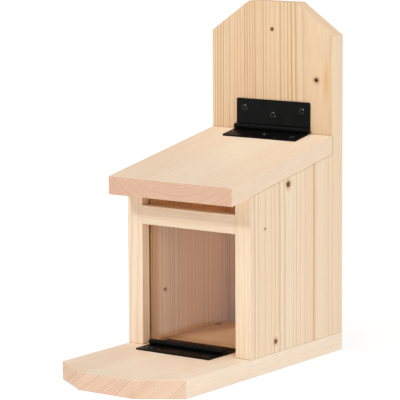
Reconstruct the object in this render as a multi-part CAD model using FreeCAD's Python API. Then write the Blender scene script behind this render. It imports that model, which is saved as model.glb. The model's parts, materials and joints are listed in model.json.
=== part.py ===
import FreeCAD, Part
import math
import os

# Wooden feeder box that hangs on a tree or a wall. Millimetres, +Z up, +Y towards the back
# board. The origin is on the ground, at mid width and mid depth of the whole box.

# Driving dimensions: boards
BOARD = 18.0  # thickness of every board
WIDTH = 148.0
CHAMBER_DEPTH = 145.0  # from the front edges of the sides to the back board
SIDE_FRONT_HEIGHT = 158.6  # above the floor board
SIDE_BACK_HEIGHT = 184.6
BACK_HEIGHT = 334.0  # above the floor board
BACK_CORNER_WIDTH = 45.5
BACK_CORNER_HEIGHT = 31.5
PLATFORM_REACH = 132.5  # how far the landing platform stands out in front of the sides
PLATFORM_CORNER_WIDTH = 41.5
PLATFORM_CORNER_DEPTH = 27.5
PLATFORM_JOINT = 0.12  # gap between the platform and the floor board, whose meeting edges stay sharp
ROOF_OVERHANG = 30.2
ROOF_GAP = 0.6  # between the roof and the back board
ARRIS = 0.5  # radius of the eased board edges
HANG_HOLE_RADIUS = 2.4
HANG_HOLE_DROP = 27.8  # below the top of the back board

# Driving dimensions: front rail, pane and pane grooves
RAIL_BOTTOM = 121.4  # above the floor board
RAIL_HEIGHT = 18.9
RAIL_THICKNESS = 10.0
DOWEL_RADIUS = 2.5
DOWEL_REACH = 11.0  # into the rail and into the side
GROOVE_SETBACK = 11.0
GROOVE_WIDTH = 2.6
GROOVE_DEPTH = 6.0
PANE_THICKNESS = 2.0
PANE_SIDE_PLAY = 0.6
PANE_TOP = 141.4  # above the floor board
PANE_CLEARANCE = 0.1  # over the screw head that the pane stands on

# Driving dimensions: hinges
HINGE_LENGTH = 89.0
LEAF_THICKNESS = 1.5
AXIS_LIFT = 3.5  # from the face a leaf lies on to the pin's axis
FIXED_REACH = 28.4  # from the pin's axis to the far edge of the wider leaf
MOVING_REACH = 25.0
KNUCKLE_RADIUS = 3.0
KNUCKLE_COUNT = 5
KNUCKLE_GAP = 0.4
KNUCKLE_NOTCH = 2.65  # how far from the axis a leaf is cut back beside the other leaf's knuckles
PIN_RADIUS = 1.5
PIN_PLAY = 0.05
PIN_HEAD_RADIUS = 2.4
PIN_HEAD_THICKNESS = 0.9
OUTER_HOLE_SPREAD = 35.0
OUTER_HOLE_REACH = 18.9
MIDDLE_HOLE_REACH = 13.0
LEAF_CORNER = 1.2
ROOF_HINGE_X = 2.3
PLATFORM_HINGE_X = -3.6
PLATFORM_AXIS_SETBACK = 2.0  # of the platform hinge's axis behind the sides' front edges

# Driving dimensions: screws
HINGE_SCREW_LENGTH = 15.0
HINGE_SCREW_RADIUS = 1.75
HINGE_SCREW_HEAD_RADIUS = 3.5
HINGE_SCREW_DOME = 0.9  # how far the hinge screws' raised heads stand over the leaf
BOX_SCREW_LENGTH = 40.0
BOX_SCREW_RADIUS = 2.0
BOX_SCREW_HEAD_RADIUS = 4.0
BOX_SCREW_DOME = 0.2
BOX_SCREW_SINK = 0.5  # heads of the box screws lie this far under the wood's surface
RECESS_SPAN = 0.58  # arm length of the cross recess, as a share of the head's radius
RECESS_WIDTH = 0.9
RECESS_DEPTH = 1.3
SCREW_EASE = 0.03  # radial room around a screw in its hole
BACK_SCREW_HEIGHTS = (28.0, 92.0, 156.0)
BASE_SCREW_SETBACKS = (24.0, 112.0)
BACK_BASE_SCREWS_X = (-40.0, 0.0, 40.0)

# Margins for the modelling itself
CUT_MARGIN = 1.0  # how far a cutting shape runs past the face it cuts
CLOSE = 0.01  # edges within this distance of a place are at that place

# Places that follow from the driving dimensions
HALF = WIDTH / 2
HALF_INSIDE = HALF - BOARD
DEPTH = PLATFORM_REACH + CHAMBER_DEPTH + BOARD
SIDE_FRONT = PLATFORM_REACH - DEPTH / 2
BACK_FACE = SIDE_FRONT + CHAMBER_DEPTH
REAR = BACK_FACE + BOARD
PLATFORM_FRONT = SIDE_FRONT - PLATFORM_REACH
DECK = BOARD  # top of the floor board and of the platform
TOP = DECK + BACK_HEIGHT
ROOF_TILT = math.atan2(SIDE_BACK_HEIGHT - SIDE_FRONT_HEIGHT, CHAMBER_DEPTH)
ROOF_RISE = BOARD / math.cos(ROOF_TILT)  # the roof board's thickness, measured upright
ROOF_AXIS_Y = BACK_FACE - AXIS_LIFT
SIDE_MID_X = HALF - BOARD / 2
UP = FreeCAD.Vector(0, 0, 1)
ALONG_X = FreeCAD.Vector(1, 0, 0)
ORIGIN = FreeCAD.Vector(0, 0, 0)


def roof_under(y):
    """Height of the roof's underside, which is also the top of the sides."""
    return DECK + SIDE_FRONT_HEIGHT + (y - SIDE_FRONT) * math.tan(ROOF_TILT)


ROOF_AXIS_Z = roof_under(ROOF_AXIS_Y) + ROOF_RISE + AXIS_LIFT / math.cos(ROOF_TILT)
PLATFORM_AXIS_Y = SIDE_FRONT + PLATFORM_AXIS_SETBACK


def block(x0, x1, y0, y1, z0, z1):
    return Part.makeBox(x1 - x0, y1 - y0, z1 - z0, FreeCAD.Vector(x0, y0, z0))


def prism(corners, push):
    """A solid from an outline of corner points pushed along a vector."""
    points = [FreeCAD.Vector(*c) for c in corners]
    return Part.Face(Part.makePolygon(points + points[:1])).extrude(FreeCAD.Vector(*push))


def lies_at(edge, y):
    """True for an edge that lies in the upright plane at that Y."""
    return all(abs(v.Point.y - y) < CLOSE for v in edge.Vertexes)


def eased(shape, sharp_end=None):
    """The board with its edges rounded a little, except round the end that butts at that Y."""
    edges = [e for e in shape.Edges if sharp_end is None or not lies_at(e, sharp_end)]
    return shape.makeFillet(ARRIS, edges)


def round_bar(radius, length, start, direction):
    return Part.makeCylinder(radius, length, FreeCAD.Vector(*start), direction)


def placed(shape, x, y, z, turns=()):
    """A moved copy, first turned about the origin by each (axis, degrees) in order."""
    copy = shape.copy()
    for axis, degrees in turns:
        copy.rotate(ORIGIN, axis, degrees)
    copy.translate(FreeCAD.Vector(x, y, z))
    return copy


# Screws: the head's top is at the origin and the tip points down

def screw_body(length, radius, head_radius, dome):
    """A countersunk wood screw's outer shape: a domed head, a cone, a shank and a point."""
    head_height = head_radius - radius
    point_height = 2 * radius
    top = FreeCAD.Vector(0, 0, dome)
    ball_radius = (head_radius ** 2 + dome ** 2) / (2 * dome)
    half_out = head_radius / 2
    half_up = dome - ball_radius + math.sqrt(ball_radius ** 2 - half_out ** 2)
    outline = [
        (head_radius, 0, 0),
        (radius, 0, -head_height),
        (radius, 0, point_height - length),
        (0, 0, -length),
    ]
    points = [FreeCAD.Vector(*p) for p in outline]
    arc = Part.Arc(top, FreeCAD.Vector(half_out, 0, half_up), points[0]).toShape()
    sides = Part.makePolygon(points + [top])
    return Part.Face(Part.Wire([arc] + sides.Edges)).revolve(ORIGIN, UP, 360)


def screw(length, radius, head_radius, dome):
    arm = RECESS_SPAN * head_radius
    half = RECESS_WIDTH / 2
    top = dome + CUT_MARGIN
    slot = block(-arm, arm, -half, half, -RECESS_DEPTH, top)
    cross = slot.fuse(block(-half, half, -arm, arm, -RECESS_DEPTH, top))
    return screw_body(length, radius, head_radius, dome).cut(cross)


def screw_hole(length, radius, head_radius, dome, sink=0.0):
    """What a screw takes out of the pieces it holds, with its head sunk under the surface."""
    hole = screw_body(length + SCREW_EASE, radius + SCREW_EASE, head_radius + SCREW_EASE, dome)
    mouth = Part.makeCylinder(head_radius + SCREW_EASE, sink + dome + CUT_MARGIN, ORIGIN, UP)
    return hole.fuse(mouth)


HINGE_SCREW = (HINGE_SCREW_LENGTH, HINGE_SCREW_RADIUS, HINGE_SCREW_HEAD_RADIUS, HINGE_SCREW_DOME)
BOX_SCREW = (BOX_SCREW_LENGTH, BOX_SCREW_RADIUS, BOX_SCREW_HEAD_RADIUS, BOX_SCREW_DOME)


def back_screw_places(side):
    """Through the back board into one side, from behind."""
    turn = ((ALONG_X, -90),)
    y = REAR - BOX_SCREW_SINK
    return [(side * SIDE_MID_X, y, DECK + h, turn) for h in BACK_SCREW_HEIGHTS]


def base_screw_places(side):
    """Up through the floor board into one side."""
    turn = ((ALONG_X, 180),)
    return [(side * SIDE_MID_X, SIDE_FRONT + s, BOX_SCREW_SINK, turn) for s in BASE_SCREW_SETBACKS]


def back_base_screw_places():
    """Up through the floor board into the back board."""
    turn = ((ALONG_X, 180),)
    y = BACK_FACE + BOARD / 2
    return [(x, y, BOX_SCREW_SINK, turn) for x in BACK_BASE_SCREWS_X]


def box_screws(places):
    return Part.makeCompound([placed(screw(*BOX_SCREW), *p) for p in places])


def bored(shape, places):
    """The board without the wood that the box screws at these places take up."""
    for place in places:
        shape = shape.cut(placed(screw_hole(*BOX_SCREW, sink=BOX_SCREW_SINK), *place))
    return shape


# Hinges: in a hinge's own frame the pin lies along X at the origin, the fixed leaf points to
# +Y, the moving leaf to -Y, and both lie on a face that is AXIS_LIFT under the pin

def knuckle_spans(wanted):
    """The stretches of the hinge's length that one leaf's knuckles take."""
    pitch = (HINGE_LENGTH + KNUCKLE_GAP) / KNUCKLE_COUNT
    starts = [i * pitch - HINGE_LENGTH / 2 for i in range(KNUCKLE_COUNT) if i % 2 == wanted]
    return [(x, x + pitch - KNUCKLE_GAP) for x in starts]


def leaf_holes(leaf_reach):
    """Screw places on a leaf: two near its far edge and one nearer the pin."""
    outer = OUTER_HOLE_REACH + leaf_reach - FIXED_REACH
    top = LEAF_THICKNESS - AXIS_LIFT
    spread = ((-OUTER_HOLE_SPREAD, outer), (0.0, MIDDLE_HOLE_REACH), (OUTER_HOLE_SPREAD, outer))
    return [(x, y, top) for x, y in spread]


def leaf(reach, own, other):
    """One leaf with its knuckles: a plate cut back beside the other leaf's knuckles."""
    half = HINGE_LENGTH / 2
    plate = block(-half, half, 0, reach, -AXIS_LIFT, LEAF_THICKNESS - AXIS_LIFT)
    far_corners = [e for e in plate.Edges if lies_at(e, reach) and is_upright(e)]
    plate = plate.makeFillet(LEAF_CORNER, far_corners)
    for x0, x1 in knuckle_spans(other):
        lo, hi = x0 - KNUCKLE_GAP, x1 + KNUCKLE_GAP
        plate = plate.cut(block(lo, hi, -CUT_MARGIN, KNUCKLE_NOTCH, -AXIS_LIFT - CUT_MARGIN, AXIS_LIFT))
    shape = plate
    for x0, x1 in knuckle_spans(own):
        shape = shape.fuse(round_bar(KNUCKLE_RADIUS, x1 - x0, (x0, 0, 0), ALONG_X))
    bore_start = (-half - CUT_MARGIN, 0, 0)
    bore = round_bar(PIN_RADIUS + PIN_PLAY, HINGE_LENGTH + 2 * CUT_MARGIN, bore_start, ALONG_X)
    shape = shape.cut(bore)
    for place in leaf_holes(reach):
        shape = shape.cut(placed(screw_hole(*HINGE_SCREW), *place))
    return shape.removeSplitter()


def is_upright(edge):
    start, end = edge.Vertexes[0].Point, edge.Vertexes[-1].Point
    return abs(start.z - end.z) > CLOSE


def fixed_leaf():
    return leaf(FIXED_REACH, 0, 1)


def moving_leaf():
    return placed(leaf(MOVING_REACH, 1, 0), 0, 0, 0, ((UP, 180),))


def pin():
    """The hinge pin, with a round head at each end of the barrel."""
    half = HINGE_LENGTH / 2
    head = PIN_HEAD_THICKNESS
    shape = round_bar(PIN_RADIUS, HINGE_LENGTH, (-half, 0, 0), ALONG_X)
    for x in (-half - head, half):
        shape = shape.fuse(round_bar(PIN_HEAD_RADIUS, head, (x, 0, 0), ALONG_X))
    return shape.removeSplitter()


def leaf_screws(reach, flip):
    turns = ((UP, 180),) if flip else ()
    solids = [placed(screw(*HINGE_SCREW), *place) for place in leaf_holes(reach)]
    return placed(Part.makeCompound(solids), 0, 0, 0, turns)


def leaf_screw_holes(reach, flip):
    """The room that one leaf's screws take up in the wood under it."""
    turns = ((UP, 180),) if flip else ()
    holes = [placed(screw_hole(*HINGE_SCREW), *place) for place in leaf_holes(reach)]
    return placed(Part.makeCompound(holes), 0, 0, 0, turns)


ROOF_HINGE = (ROOF_HINGE_X, ROOF_AXIS_Y, ROOF_AXIS_Z)
WALL_LEAF_PLACE = ROOF_HINGE + (((ALONG_X, 90),),)
ROOF_LEAF_PLACE = ROOF_HINGE + (((ALONG_X, math.degrees(ROOF_TILT)),),)
PLATFORM_HINGE_PLACE = (PLATFORM_HINGE_X, PLATFORM_AXIS_Y, DECK + AXIS_LIFT)


# Boards

def back_board():
    """Upright board with cut corners at the top and the hole it hangs by."""
    shoulder = TOP - BACK_CORNER_HEIGHT
    neck = HALF - BACK_CORNER_WIDTH
    outline = [(-HALF, DECK), (HALF, DECK), (HALF, shoulder), (neck, TOP), (-neck, TOP), (-HALF, shoulder)]
    shape = eased(prism([(x, BACK_FACE, z) for x, z in outline], (0, BOARD, 0)))
    hole_start = (0, BACK_FACE - CUT_MARGIN, TOP - HANG_HOLE_DROP)
    hole = round_bar(HANG_HOLE_RADIUS, BOARD + 2 * CUT_MARGIN, hole_start, FreeCAD.Vector(0, 1, 0))
    shape = shape.cut(hole)
    shape = shape.cut(placed(leaf_screw_holes(FIXED_REACH, False), *WALL_LEAF_PLACE))
    return bored(shape, back_screw_places(-1) + back_screw_places(1) + back_base_screw_places())


def side_board(side):
    """Side wall with its sloped top, the pane's groove and the rail's dowel hole. side is -1 or 1."""
    x0 = min(side * HALF_INSIDE, side * HALF)
    y0, y1 = SIDE_FRONT, BACK_FACE
    outline = [(y0, DECK), (y1, DECK), (y1, roof_under(y1)), (y0, roof_under(y0))]
    shape = eased(prism([(x0, y, z) for y, z in outline], (BOARD, 0, 0)))
    groove_ends = sorted((side * (HALF_INSIDE - CUT_MARGIN), side * (HALF_INSIDE + GROOVE_DEPTH)))
    groove_front = SIDE_FRONT + GROOVE_SETBACK
    groove_back = groove_front + GROOVE_WIDTH
    shape = shape.cut(block(*groove_ends, groove_front, groove_back, DECK - CUT_MARGIN, TOP))
    shape = shape.cut(dowel(side, SCREW_EASE))
    return bored(shape, back_screw_places(side) + base_screw_places(side))


def floor_board():
    """Floor under the sides and the back board."""
    shape = eased(block(-HALF, HALF, SIDE_FRONT, REAR, 0, DECK), SIDE_FRONT)
    shape = shape.cut(placed(leaf_screw_holes(FIXED_REACH, False), *PLATFORM_HINGE_PLACE))
    places = base_screw_places(-1) + base_screw_places(1) + back_base_screw_places()
    return bored(shape, places)


def platform_board():
    """Landing platform in front of the floor board, with cut front corners."""
    rear = SIDE_FRONT - PLATFORM_JOINT
    corner = PLATFORM_FRONT + PLATFORM_CORNER_DEPTH
    neck = HALF - PLATFORM_CORNER_WIDTH
    front = PLATFORM_FRONT
    outline = [(-HALF, rear), (HALF, rear), (HALF, corner), (neck, front), (-neck, front), (-HALF, corner)]
    shape = eased(prism([(x, y, 0) for x, y in outline], (0, 0, DECK)), rear)
    return shape.cut(placed(leaf_screw_holes(MOVING_REACH, True), *PLATFORM_HINGE_PLACE))


def roof_board():
    """Sloping roof with upright front and back edges, resting on the sides."""
    y0, y1 = SIDE_FRONT - ROOF_OVERHANG, BACK_FACE - ROOF_GAP
    z0, z1 = roof_under(y0), roof_under(y1)
    outline = [(y0, z0), (y1, z1), (y1, z1 + ROOF_RISE), (y0, z0 + ROOF_RISE)]
    shape = eased(prism([(-HALF, y, z) for y, z in outline], (WIDTH, 0, 0)))
    return shape.cut(placed(leaf_screw_holes(MOVING_REACH, True), *ROOF_LEAF_PLACE))


# Front rail, its dowels and the pane

def dowel(side, ease=0.0):
    """Round dowel between the rail's end and a side, or with ease the hole for it."""
    reach = DOWEL_REACH + ease
    height = DECK + RAIL_BOTTOM + RAIL_HEIGHT / 2
    start = (side * HALF_INSIDE - reach, SIDE_FRONT + RAIL_THICKNESS / 2, height)
    return round_bar(DOWEL_RADIUS + ease, 2 * reach, start, ALONG_X)


def front_rail():
    bottom = DECK + RAIL_BOTTOM
    back = SIDE_FRONT + RAIL_THICKNESS
    shape = eased(block(-HALF_INSIDE, HALF_INSIDE, SIDE_FRONT, back, bottom, bottom + RAIL_HEIGHT))
    for side in (-1, 1):
        shape = shape.cut(dowel(side, SCREW_EASE))
    return shape


def window_pane():
    """Clear pane in the sides' grooves, over the platform hinge's fixed leaf and its screws."""
    half = HALF_INSIDE + GROOVE_DEPTH - PANE_SIDE_PLAY
    front = SIDE_FRONT + GROOVE_SETBACK + (GROOVE_WIDTH - PANE_THICKNESS) / 2
    back = front + PANE_THICKNESS
    bottom = DECK + LEAF_THICKNESS + HINGE_SCREW_DOME + PANE_CLEARANCE
    return block(-half, half, front, back, bottom, DECK + PANE_TOP)


def sub_parts():
    """Every sub-part by name."""
    return {
        "back_board": back_board(),
        "left_side": side_board(-1),
        "right_side": side_board(1),
        "floor_board": floor_board(),
        "platform_board": platform_board(),
        "roof_board": roof_board(),
        "front_rail": front_rail(),
        "left_rail_dowel": dowel(-1),
        "right_rail_dowel": dowel(1),
        "window_pane": window_pane(),
        "roof_hinge_wall_leaf": placed(fixed_leaf(), *WALL_LEAF_PLACE),
        "roof_hinge_roof_leaf": placed(moving_leaf(), *ROOF_LEAF_PLACE),
        "roof_hinge_pin": placed(pin(), *ROOF_HINGE),
        "roof_hinge_wall_screws": placed(leaf_screws(FIXED_REACH, False), *WALL_LEAF_PLACE),
        "roof_hinge_roof_screws": placed(leaf_screws(MOVING_REACH, True), *ROOF_LEAF_PLACE),
        "platform_hinge_floor_leaf": placed(fixed_leaf(), *PLATFORM_HINGE_PLACE),
        "platform_hinge_platform_leaf": placed(moving_leaf(), *PLATFORM_HINGE_PLACE),
        "platform_hinge_pin": placed(pin(), *PLATFORM_HINGE_PLACE),
        "platform_hinge_floor_screws": placed(leaf_screws(FIXED_REACH, False), *PLATFORM_HINGE_PLACE),
        "platform_hinge_platform_screws": placed(leaf_screws(MOVING_REACH, True), *PLATFORM_HINGE_PLACE),
        "left_side_back_screws": box_screws(back_screw_places(-1)),
        "right_side_back_screws": box_screws(back_screw_places(1)),
        "left_side_base_screws": box_screws(base_screw_places(-1)),
        "right_side_base_screws": box_screws(base_screw_places(1)),
        "back_board_base_screws": box_screws(back_base_screw_places()),
    }


def main():
    os.makedirs("parts", exist_ok=True)
    for name, shape in sub_parts().items():
        shape.exportStep("parts/" + name + ".step")
        box = shape.BoundBox
        print(name, len(shape.Solids), shape.isValid(), round(shape.Volume), box)


main()
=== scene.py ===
import json
import logging
import math
from dataclasses import dataclass
from enum import Enum
from typing import Optional, Sequence, Union

import bmesh
import bpy
from mathutils import Matrix, Vector


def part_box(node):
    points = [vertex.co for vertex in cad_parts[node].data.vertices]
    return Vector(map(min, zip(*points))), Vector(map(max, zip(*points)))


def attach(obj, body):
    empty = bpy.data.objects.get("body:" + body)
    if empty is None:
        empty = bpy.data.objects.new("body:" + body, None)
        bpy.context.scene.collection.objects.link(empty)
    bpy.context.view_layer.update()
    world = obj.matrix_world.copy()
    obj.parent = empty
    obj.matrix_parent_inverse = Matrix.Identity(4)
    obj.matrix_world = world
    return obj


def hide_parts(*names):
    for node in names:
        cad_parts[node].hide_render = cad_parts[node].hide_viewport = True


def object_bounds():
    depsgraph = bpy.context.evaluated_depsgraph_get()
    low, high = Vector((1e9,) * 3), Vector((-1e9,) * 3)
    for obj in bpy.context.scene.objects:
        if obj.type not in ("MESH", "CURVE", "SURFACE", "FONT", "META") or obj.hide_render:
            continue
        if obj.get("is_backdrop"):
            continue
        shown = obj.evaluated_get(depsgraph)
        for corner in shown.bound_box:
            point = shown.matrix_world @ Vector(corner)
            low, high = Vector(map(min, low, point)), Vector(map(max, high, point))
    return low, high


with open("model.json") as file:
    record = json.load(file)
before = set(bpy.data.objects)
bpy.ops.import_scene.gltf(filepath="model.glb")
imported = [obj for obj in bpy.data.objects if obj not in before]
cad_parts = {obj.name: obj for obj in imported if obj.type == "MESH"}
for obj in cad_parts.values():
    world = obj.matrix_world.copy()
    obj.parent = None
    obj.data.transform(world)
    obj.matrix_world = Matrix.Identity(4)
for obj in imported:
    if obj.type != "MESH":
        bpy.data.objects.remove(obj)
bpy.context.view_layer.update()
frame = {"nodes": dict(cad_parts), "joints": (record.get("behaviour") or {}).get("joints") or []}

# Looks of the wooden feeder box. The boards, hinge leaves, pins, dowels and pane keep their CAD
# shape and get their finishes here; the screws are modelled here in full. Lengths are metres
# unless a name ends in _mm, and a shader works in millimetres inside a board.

log = logging.getLogger("feeder_box")

MM = 0.001
PER_METRE = 1000.0  # millimetres
ROOF_RISE_MM = 26.0  # how far the sides' tops climb
ROOF_RUN_MM = 145.0  # over their depth
Triple = tuple[float, float, float]
Ring = list[bmesh.types.BMVert]
Value = Union[float, Triple, bpy.types.NodeSocket]


class Axis(Enum):
    """The directions of the box: across its front, towards its back, and up."""

    ACROSS = (1.0, 0.0, 0.0)
    BACK = (0.0, 1.0, 0.0)
    UP = (0.0, 0.0, 1.0)


class Body(Enum):
    """The bodies that the pieces ride on."""

    HOUSE = "house"
    ROOF = "roof"
    PLATFORM = "platform"


# ---------------- shader bench


class Bench:
    """Puts shader nodes into one new material and joins them."""

    def __init__(self, name: str) -> None:
        """Starts an empty material.

        Args:
            name: The material's name.
        """
        self.material = bpy.data.materials.new(name)
        self.material.use_nodes = True
        self.tree = self.material.node_tree
        self.tree.nodes.clear()

    def node(self, kind: str, **settings: object) -> bpy.types.Node:
        """Adds a node.

        Args:
            kind: Blender's name for the node type.
            settings: Properties to set on it.

        Returns:
            The new node.
        """
        made = self.tree.nodes.new(kind)
        for key, value in settings.items():
            setattr(made, key, value)
        return made

    def feed(self, socket: bpy.types.NodeSocket, value: Value) -> None:
        """Links a socket to an input, or sets the input to a constant.

        Args:
            socket: The input.
            value: An output socket, a number or three numbers.
        """
        if isinstance(value, bpy.types.NodeSocket):
            self.tree.links.new(value, socket)
        elif isinstance(value, tuple) and socket.type == "RGBA":
            socket.default_value = (*value, 1.0)
        else:
            socket.default_value = value

    def _joined(self, kind: str, values: Sequence[Value], **settings: object) -> bpy.types.Node:
        """Adds a node and feeds its first inputs, in order."""
        made = self.node(kind, **settings)
        for socket, value in zip(made.inputs, values):
            self.feed(socket, value)
        return made

    def math(self, operation: str, *values: Value) -> bpy.types.NodeSocket:
        """One step of arithmetic on numbers.

        Args:
            operation: Blender's name for it.
            values: One to three operands.

        Returns:
            The result's socket.
        """
        return self._joined("ShaderNodeMath", values, operation=operation).outputs[0]

    def vector(self, operation: str, *values: Value, out: str = "Vector") -> bpy.types.NodeSocket:
        """One step of arithmetic on vectors.

        Args:
            operation: Blender's name for it.
            values: The operands.
            out: The output to use, Vector or Value.

        Returns:
            The result's socket.
        """
        return self._joined("ShaderNodeVectorMath", values, operation=operation).outputs[out]

    def combine(self, x: Value, y: Value, z: Value) -> bpy.types.NodeSocket:
        """Three numbers as a vector."""
        return self._joined("ShaderNodeCombineXYZ", (x, y, z)).outputs[0]

    def separate(self, vector: bpy.types.NodeSocket) -> Sequence[bpy.types.NodeSocket]:
        """A vector's three numbers."""
        return self._joined("ShaderNodeSeparateXYZ", (vector,)).outputs

    def step(self, value: Value, low: float, high: float, to_low: float = 0.0,
             to_high: float = 1.0) -> bpy.types.NodeSocket:
        """Moves a value smoothly from one level to another.

        Args:
            value: What is read.
            low: Where the change starts.
            high: Where it ends.
            to_low: The result up to low.
            to_high: The result from high on.

        Returns:
            The result's socket.
        """
        made = self.node("ShaderNodeMapRange", interpolation_type="SMOOTHSTEP")
        for name, number in (("Value", value), ("From Min", low), ("From Max", high),
                             ("To Min", to_low), ("To Max", to_high)):
            self.feed(made.inputs[name], number)
        return made.outputs["Result"]

    def noise(self, where: Value, scale: float, detail: float = 2.0, roughness: float = 0.5,
              flat: bool = False) -> bpy.types.Node:
        """Smooth noise.

        Args:
            where: A vector, or a number when flat.
            scale: Bumps per unit.
            detail: Octaves added.
            roughness: Strength of the finer octaves.
            flat: True for noise along one number only.

        Returns:
            The node; its outputs are Fac and Color.
        """
        made = self.node("ShaderNodeTexNoise", noise_dimensions="1D" if flat else "3D")
        self.feed(made.inputs["W" if flat else "Vector"], where)
        self.feed(made.inputs["Scale"], scale)
        self.feed(made.inputs["Detail"], detail)
        self.feed(made.inputs["Roughness"], roughness)
        return made

    def mix(self, share: Value, a: Value, b: Value, blend: str = "MIX") -> bpy.types.NodeSocket:
        """Mixes two colours.

        Args:
            share: 0 for a, 1 for b.
            a: First colour.
            b: Second colour.
            blend: How b is laid on a.

        Returns:
            The colour's socket.
        """
        made = self.node("ShaderNodeMix", data_type="RGBA", blend_type=blend)
        self.feed(made.inputs[0], share)
        self.feed(made.inputs[6], a)
        self.feed(made.inputs[7], b)
        return made.outputs[2]

    def bump(self, height: Value, strength: float, depth: float,
             normal: Optional[bpy.types.NodeSocket] = None) -> bpy.types.NodeSocket:
        """Turns a height into a bent normal.

        Args:
            height: The height, about 0 to 1.
            strength: How much of it shows.
            depth: The height's real size.
            normal: A normal to start from.

        Returns:
            The normal's socket.
        """
        made = self.node("ShaderNodeBump")
        made.inputs["Strength"].default_value = strength
        made.inputs["Distance"].default_value = depth
        self.feed(made.inputs["Height"], height)
        if normal is not None:
            self.feed(made.inputs["Normal"], normal)
        return made.outputs["Normal"]

    def soft_edges(self, radius: float) -> bpy.types.NodeSocket:
        """A normal that rounds the piece's sharp edges."""
        made = self.node("ShaderNodeBevel", samples=4)
        made.inputs["Radius"].default_value = radius
        return made.outputs[0]

    def painted_crease_shade(self, reach: float, deepest: float) -> bpy.types.NodeSocket:
        """How open the surface is, by ambient occlusion: low deep in a joint between boards, for the painted
        shade there.

        Args:
            reach: How far a joint is felt.
            deepest: The result deep in the joint.

        Returns:
            The result's socket, which is 1 on the open face.
        """
        made = self.node("ShaderNodeAmbientOcclusion", samples=6)
        made.inputs["Distance"].default_value = reach
        return self.step(made.outputs["AO"], 0.3, 0.8, deepest, 1.0)

    def place(self) -> bpy.types.NodeSocket:
        """The point on the piece in the box's own frame, wherever the piece has moved to."""
        return self.node("ShaderNodeTexCoord").outputs["Object"]

    def facing(self, direction: Triple) -> bpy.types.NodeSocket:
        """How squarely the surface faces along a direction of the piece, from 0 to 1."""
        normal = self.node("ShaderNodeTexCoord").outputs["Normal"]
        return self.math("ABSOLUTE", self.vector("DOT_PRODUCT", normal, direction, out="Value"))

    def finish(self, **inputs: Value) -> bpy.types.Material:
        """Ends the material in one surface shader.

        Args:
            inputs: Shader inputs, with _ for a space in their names.

        Returns:
            The material.
        """
        shader = self.node("ShaderNodeBsdfPrincipled")
        for key, value in inputs.items():
            self.feed(shader.inputs[key.replace("_", " ")], value)
        output = self.node("ShaderNodeOutputMaterial")
        self.tree.links.new(shader.outputs[0], output.inputs[0])
        return self.material


# ---------------- finishes


@dataclass(frozen=True)
class Knot:
    """A small knot: where it comes out of a face, its radius, and how the rings are led round it."""

    centre: Triple
    radius_mm: float
    darkness: float = 1.0
    heart: float = 0.0
    bend_across: float = 2.2
    bend_along: float = 4.5
    bend: float = 0.75
    unevenness: float = 0.5


@dataclass(frozen=True)
class ResinStreak:
    """A long stain of resin beside a knot, along the grain."""

    centre: Triple
    half_width_mm: float
    half_length_mm: float
    strength: float
    stain: Triple = (0.80, 0.45, 0.17)


@dataclass(frozen=True)
class PaintedShadeChamber:
    """The food chamber's space, whose walls get a warmer, darker tint: painted warm shade and bounce light
    inside the box.

    Its ceiling is the roof's underside, given by its upward direction and its level along that.
    """

    half_width: float
    front: float
    back: float
    low: float
    ceiling_up: Triple
    ceiling: float
    edge: float = 0.0004
    # the painted warm shade multiplied into the chamber's walls
    tint: Triple = (0.99, 0.92, 0.79)

    def inside(self, bench: Bench) -> bpy.types.NodeSocket:
        """1 on the chamber's walls, and 0 on the rest of the box."""
        x, y, z = bench.separate(bench.place())
        edge = self.edge
        across = bench.step(bench.math("ABSOLUTE", x), self.half_width, self.half_width + edge, 1.0, 0.0)
        depth = bench.math("MULTIPLY", bench.step(y, self.front, self.front + 10 * edge),
                           bench.step(y, self.back, self.back + edge, 1.0, 0.0))
        level = bench.vector("DOT_PRODUCT", bench.place(), self.ceiling_up, out="Value")
        height = bench.math("MULTIPLY", bench.step(z, self.low - edge, self.low),
                            bench.step(level, self.ceiling, self.ceiling + edge, 1.0, 0.0))
        return bench.math("MULTIPLY", across, bench.math("MULTIPLY", depth, height))


@dataclass(frozen=True)
class PineTones:
    """The tones that every board shares, laid over the wood and its year rings."""

    darker_band: Triple = (0.97, 0.90, 0.86)
    fleck: Triple = (0.90, 0.78, 0.66)
    knot_stain: Triple = (0.50, 0.27, 0.12)
    knot: Triple = (0.105, 0.055, 0.028)
    knot_heart: Triple = (0.44, 0.26, 0.15)
    # colour of the painted shade deep in the joints between boards
    joint: Triple = (0.26, 0.14, 0.07)


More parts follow.
